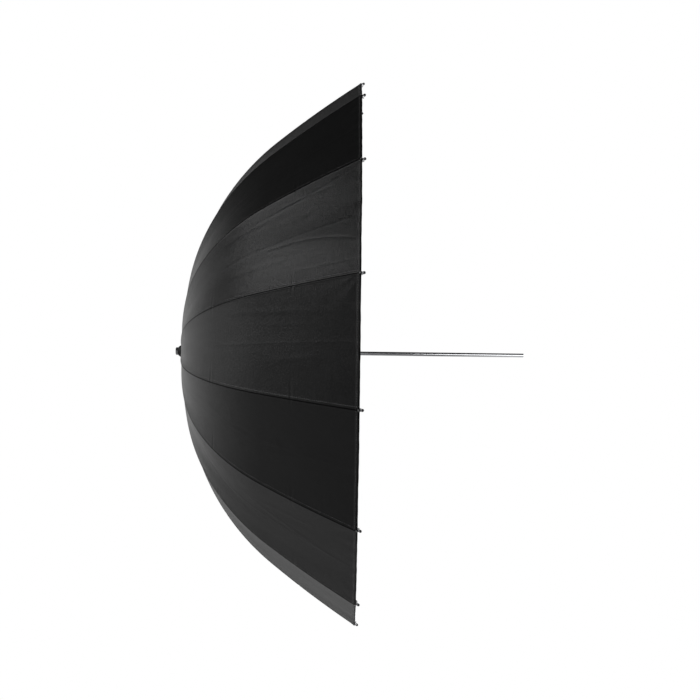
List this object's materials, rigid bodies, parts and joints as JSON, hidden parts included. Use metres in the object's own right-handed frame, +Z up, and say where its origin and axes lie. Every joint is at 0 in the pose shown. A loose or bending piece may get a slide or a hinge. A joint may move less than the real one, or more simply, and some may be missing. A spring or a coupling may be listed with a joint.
{
  "type": "umbrella reflector",
  "caption": "Deep round photographic umbrella with a black cover, white lining, glass-fibre ribs, folding stretchers, sliding runner and steel shaft.",
  "frame": {"origin": "point of the shaft's axis that the light's umbrella bracket grips, 468 mm from the crown", "axes": "+X along the shaft from the crown to its free end, +Z up through the middle of a gore, with the catch's nose"},
  "size_m": [0.7271, 1.079, 1.079],
  "materials": {
    "steel_shaft": "polished steel tube",
    "chrome": "bright plated",
    "plain_steel": "drawn wire and strip",
    "rib_metal": "zinc-plated pressings and tips",
    "stretcher_steel": "plated rod",
    "rib_rod": "black glass-fibre rod",
    "black_plastic": "moulded, satin",
    "rosette": "soft black cap",
    "black_cloth": "tight matt weave",
    "white_cloth": "smooth white weave"
  },
  "bodies": {
    "shaft": {"shaft_tube": "steel_shaft", "shaft_end_cap": "steel_shaft", "crown_hub": "black_plastic", "crown_ring": "plain_steel", "crown_stud": "plain_steel", "crown_rosette": "rosette", "ferrule_nut": "chrome", "canopy_cover": "black_cloth", "canopy_lining": "white_cloth"},
    "runner": {"runner_sleeve": "black_plastic", "runner_ring": "plain_steel"},
    "catch": {"spring_catch": "plain_steel"},
    "stretcher_01_link": {"stretcher_01": "stretcher_steel"},
    "rib_01_arm": {"rib_01": "rib_rod", "rib_fittings_01": "rib_metal"},
    "stretcher_02_link": {"stretcher_02": "stretcher_steel"},
    "rib_02_arm": {"rib_02": "rib_rod", "rib_fittings_02": "rib_metal"},
    "stretcher_03_link": {"stretcher_03": "stretcher_steel"},
    "rib_03_arm": {"rib_03": "rib_rod", "rib_fittings_03": "rib_metal"},
    "stretcher_04_link": {"stretcher_04": "stretcher_steel"},
    "rib_04_arm": {"rib_04": "rib_rod", "rib_fittings_04": "rib_metal"},
    "stretcher_05_link": {"stretcher_05": "stretcher_steel"},
    "rib_05_arm": {"rib_05": "rib_rod", "rib_fittings_05": "rib_metal"},
    "stretcher_06_link": {"stretcher_06": "stretcher_steel"},
    "rib_06_arm": {"rib_06": "rib_rod", "rib_fittings_06": "rib_metal"},
    "stretcher_07_link": {"stretcher_07": "stretcher_steel"},
    "rib_07_arm": {"rib_07": "rib_rod", "rib_fittings_07": "rib_metal"},
    "stretcher_08_link": {"stretcher_08": "stretcher_steel"},
    "rib_08_arm": {"rib_08": "rib_rod", "rib_fittings_08": "rib_metal"},
    "stretcher_09_link": {"stretcher_09": "stretcher_steel"},
    "rib_09_arm": {"rib_09": "rib_rod", "rib_fittings_09": "rib_metal"},
    "stretcher_10_link": {"stretcher_10": "stretcher_steel"},
    "rib_10_arm": {"rib_10": "rib_rod", "rib_fittings_10": "rib_metal"},
    "stretcher_11_link": {"stretcher_11": "stretcher_steel"},
    "rib_11_arm": {"rib_11": "rib_rod", "rib_fittings_11": "rib_metal"},
    "stretcher_12_link": {"stretcher_12": "stretcher_steel"},
    "rib_12_arm": {"rib_12": "rib_rod", "rib_fittings_12": "rib_metal"},
    "stretcher_13_link": {"stretcher_13": "stretcher_steel"},
    "rib_13_arm": {"rib_13": "rib_rod", "rib_fittings_13": "rib_metal"},
    "stretcher_14_link": {"stretcher_14": "stretcher_steel"},
    "rib_14_arm": {"rib_14": "rib_rod", "rib_fittings_14": "rib_metal"},
    "stretcher_15_link": {"stretcher_15": "stretcher_steel"},
    "rib_15_arm": {"rib_15": "rib_rod", "rib_fittings_15": "rib_metal"},
    "stretcher_16_link": {"stretcher_16": "stretcher_steel"},
    "rib_16_arm": {"rib_16": "rib_rod", "rib_fittings_16": "rib_metal"}
  },
  "joints": [
    {"name": "runner_slide", "type": "slide", "parent": "shaft", "child": "runner", "axis": [1, 0, 0], "range_m": [0, 0.43925]},
    {"name": "catch_press", "type": "slide", "parent": "shaft", "child": "catch", "axis": [0, 0, -1], "range_m": [0, 0.0023], "stiffness_N_per_m": 900},
    {"name": "rib_01_fold", "type": "hinge", "parent": "shaft", "child": "rib_01_arm", "pos_m": [-0.4615, -0.00215, 0.01079], "axis": [0, 0.9808, 0.1951], "range_deg": [0, 55.01]},
    {"name": "stretcher_01_fold", "type": "hinge", "parent": "runner", "child": "stretcher_01_link", "pos_m": [-0.26487, -0.00215, 0.01079], "axis": [0, -0.9808, -0.1951], "range_deg": [0, 57.06]},
    {"name": "rib_02_fold", "type": "hinge", "parent": "shaft", "child": "rib_02_arm", "pos_m": [-0.4615, -0.00611, 0.00915], "axis": [0, 0.8315, 0.5556], "range_deg": [0, 55.01]},
    {"name": "stretcher_02_fold", "type": "hinge", "parent": "runner", "child": "stretcher_02_link", "pos_m": [-0.26487, -0.00611, 0.00915], "axis": [0, -0.8315, -0.5556], "range_deg": [0, 57.06]},
    {"name": "rib_03_fold", "type": "hinge", "parent": "shaft", "child": "rib_03_arm", "pos_m": [-0.4615, -0.00915, 0.00611], "axis": [0, 0.5556, 0.8315], "range_deg": [0, 55.01]},
    {"name": "stretcher_03_fold", "type": "hinge", "parent": "runner", "child": "stretcher_03_link", "pos_m": [-0.26487, -0.00915, 0.00611], "axis": [0, -0.5556, -0.8315], "range_deg": [0, 57.06]},
    {"name": "rib_04_fold", "type": "hinge", "parent": "shaft", "child": "rib_04_arm", "pos_m": [-0.4615, -0.01079, 0.00215], "axis": [0, 0.1951, 0.9808], "range_deg": [0, 55.01]},
    {"name": "stretcher_04_fold", "type": "hinge", "parent": "runner", "child": "stretcher_04_link", "pos_m": [-0.26487, -0.01079, 0.00215], "axis": [0, -0.1951, -0.9808], "range_deg": [0, 57.06]},
    {"name": "rib_05_fold", "type": "hinge", "parent": "shaft", "child": "rib_05_arm", "pos_m": [-0.4615, -0.01079, -0.00215], "axis": [0, -0.1951, 0.9808], "range_deg": [0, 55.01]},
    {"name": "stretcher_05_fold", "type": "hinge", "parent": "runner", "child": "stretcher_05_link", "pos_m": [-0.26487, -0.01079, -0.00215], "axis": [0, 0.1951, -0.9808], "range_deg": [0, 57.06]},
    {"name": "rib_06_fold", "type": "hinge", "parent": "shaft", "child": "rib_06_arm", "pos_m": [-0.4615, -0.00915, -0.00611], "axis": [0, -0.5556, 0.8315], "range_deg": [0, 55.01]},
    {"name": "stretcher_06_fold", "type": "hinge", "parent": "runner", "child": "stretcher_06_link", "pos_m": [-0.26487, -0.00915, -0.00611], "axis": [0, 0.5556, -0.8315], "range_deg": [0, 57.06]},
    {"name": "rib_07_fold", "type": "hinge", "parent": "shaft", "child": "rib_07_arm", "pos_m": [-0.4615, -0.00611, -0.00915], "axis": [0, -0.8315, 0.5556], "range_deg": [0, 55.01]},
    {"name": "stretcher_07_fold", "type": "hinge", "parent": "runner", "child": "stretcher_07_link", "pos_m": [-0.26487, -0.00611, -0.00915], "axis": [0, 0.8315, -0.5556], "range_deg": [0, 57.06]},
    {"name": "rib_08_fold", "type": "hinge", "parent": "shaft", "child": "rib_08_arm", "pos_m": [-0.4615, -0.00215, -0.01079], "axis": [0, -0.9808, 0.1951], "range_deg": [0, 55.01]},
    {"name": "stretcher_08_fold", "type": "hinge", "parent": "runner", "child": "stretcher_08_link", "pos_m": [-0.26487, -0.00215, -0.01079], "axis": [0, 0.9808, -0.1951], "range_deg": [0, 57.06]},
    {"name": "rib_09_fold", "type": "hinge", "parent": "shaft", "child": "rib_09_arm", "pos_m": [-0.4615, 0.00215, -0.01079], "axis": [0, -0.9808, -0.1951], "range_deg": [0, 55.01]},
    {"name": "stretcher_09_fold", "type": "hinge", "parent": "runner", "child": "stretcher_09_link", "pos_m": [-0.26487, 0.00215, -0.01079], "axis": [0, 0.9808, 0.1951], "range_deg": [0, 57.06]},
    {"name": "rib_10_fold", "type": "hinge", "parent": "shaft", "child": "rib_10_arm", "pos_m": [-0.4615, 0.00611, -0.00915], "axis": [0, -0.8315, -0.5556], "range_deg": [0, 55.01]},
    {"name": "stretcher_10_fold", "type": "hinge", "parent": "runner", "child": "stretcher_10_link", "pos_m": [-0.26487, 0.00611, -0.00915], "axis": [0, 0.8315, 0.5556], "range_deg": [0, 57.06]},
    {"name": "rib_11_fold", "type": "hinge", "parent": "shaft", "child": "rib_11_arm", "pos_m": [-0.4615, 0.00915, -0.00611], "axis": [0, -0.5556, -0.8315], "range_deg": [0, 55.01]},
    {"name": "stretcher_11_fold", "type": "hinge", "parent": "runner", "child": "stretcher_11_link", "pos_m": [-0.26487, 0.00915, -0.00611], "axis": [0, 0.5556, 0.8315], "range_deg": [0, 57.06]},
    {"name": "rib_12_fold", "type": "hinge", "parent": "shaft", "child": "rib_12_arm", "pos_m": [-0.4615, 0.01079, -0.00215], "axis": [0, -0.1951, -0.9808], "range_deg": [0, 55.01]},
    {"name": "stretcher_12_fold", "type": "hinge", "parent": "runner", "child": "stretcher_12_link", "pos_m": [-0.26487, 0.01079, -0.00215], "axis": [0, 0.1951, 0.9808], "range_deg": [0, 57.06]},
    {"name": "rib_13_fold", "type": "hinge", "parent": "shaft", "child": "rib_13_arm", "pos_m": [-0.4615, 0.01079, 0.00215], "axis": [0, 0.1951, -0.9808], "range_deg": [0, 55.01]},
    {"name": "stretcher_13_fold", "type": "hinge", "parent": "runner", "child": "stretcher_13_link", "pos_m": [-0.26487, 0.01079, 0.00215], "axis": [0, -0.1951, 0.9808], "range_deg": [0, 57.06]},
    {"name": "rib_14_fold", "type": "hinge", "parent": "shaft", "child": "rib_14_arm", "pos_m": [-0.4615, 0.00915, 0.00611], "axis": [0, 0.5556, -0.8315], "range_deg": [0, 55.01]},
    {"name": "stretcher_14_fold", "type": "hinge", "parent": "runner", "child": "stretcher_14_link", "pos_m": [-0.26487, 0.00915, 0.00611], "axis": [0, -0.5556, 0.8315], "range_deg": [0, 57.06]},
    {"name": "rib_15_fold", "type": "hinge", "parent": "shaft", "child": "rib_15_arm", "pos_m": [-0.4615, 0.00611, 0.00915], "axis": [0, 0.8315, -0.5556], "range_deg": [0, 55.01]},
    {"name": "stretcher_15_fold", "type": "hinge", "parent": "runner", "child": "stretcher_15_link", "pos_m": [-0.26487, 0.00611, 0.00915], "axis": [0, -0.8315, 0.5556], "range_deg": [0, 57.06]},
    {"name": "rib_16_fold", "type": "hinge", "parent": "shaft", "child": "rib_16_arm", "pos_m": [-0.4615, 0.00215, 0.01079], "axis": [0, 0.9808, -0.1951], "range_deg": [0, 55.01]},
    {"name": "stretcher_16_fold", "type": "hinge", "parent": "runner", "child": "stretcher_16_link", "pos_m": [-0.26487, 0.00215, 0.01079], "axis": [0, -0.9808, 0.1951], "range_deg": [0, 57.06]}
  ],
  "couplings": [
    {"joint": "rib_01_fold", "follows": "runner_slide", "rad_per_m": 2.1854},
    {"joint": "stretcher_01_fold", "follows": "runner_slide", "rad_per_m": 2.2669},
    {"joint": "rib_02_fold", "follows": "runner_slide", "rad_per_m": 2.1854},
    {"joint": "stretcher_02_fold", "follows": "runner_slide", "rad_per_m": 2.2669},
    {"joint": "rib_03_fold", "follows": "runner_slide", "rad_per_m": 2.1854},
    {"joint": "stretcher_03_fold", "follows": "runner_slide", "rad_per_m": 2.2669},
    {"joint": "rib_04_fold", "follows": "runner_slide", "rad_per_m": 2.1854},
    {"joint": "stretcher_04_fold", "follows": "runner_slide", "rad_per_m": 2.2669},
    {"joint": "rib_05_fold", "follows": "runner_slide", "rad_per_m": 2.1854},
    {"joint": "stretcher_05_fold", "follows": "runner_slide", "rad_per_m": 2.2669},
    {"joint": "rib_06_fold", "follows": "runner_slide", "rad_per_m": 2.1854},
    {"joint": "stretcher_06_fold", "follows": "runner_slide", "rad_per_m": 2.2669},
    {"joint": "rib_07_fold", "follows": "runner_slide", "rad_per_m": 2.1854},
    {"joint": "stretcher_07_fold", "follows": "runner_slide", "rad_per_m": 2.2669},
    {"joint": "rib_08_fold", "follows": "runner_slide", "rad_per_m": 2.1854},
    {"joint": "stretcher_08_fold", "follows": "runner_slide", "rad_per_m": 2.2669},
    {"joint": "rib_09_fold", "follows": "runner_slide", "rad_per_m": 2.1854},
    {"joint": "stretcher_09_fold", "follows": "runner_slide", "rad_per_m": 2.2669},
    {"joint": "rib_10_fold", "follows": "runner_slide", "rad_per_m": 2.1854},
    {"joint": "stretcher_10_fold", "follows": "runner_slide", "rad_per_m": 2.2669},
    {"joint": "rib_11_fold", "follows": "runner_slide", "rad_per_m": 2.1854},
    {"joint": "stretcher_11_fold", "follows": "runner_slide", "rad_per_m": 2.2669},
    {"joint": "rib_12_fold", "follows": "runner_slide", "rad_per_m": 2.1854},
    {"joint": "stretcher_12_fold", "follows": "runner_slide", "rad_per_m": 2.2669},
    {"joint": "rib_13_fold", "follows": "runner_slide", "rad_per_m": 2.1854},
    {"joint": "stretcher_13_fold", "follows": "runner_slide", "rad_per_m": 2.2669},
    {"joint": "rib_14_fold", "follows": "runner_slide", "rad_per_m": 2.1854},
    {"joint": "stretcher_14_fold", "follows": "runner_slide", "rad_per_m": 2.2669},
    {"joint": "rib_15_fold", "follows": "runner_slide", "rad_per_m": 2.1854},
    {"joint": "stretcher_15_fold", "follows": "runner_slide", "rad_per_m": 2.2669},
    {"joint": "rib_16_fold", "follows": "runner_slide", "rad_per_m": 2.1854},
    {"joint": "stretcher_16_fold", "follows": "runner_slide", "rad_per_m": 2.2669}
  ]
}
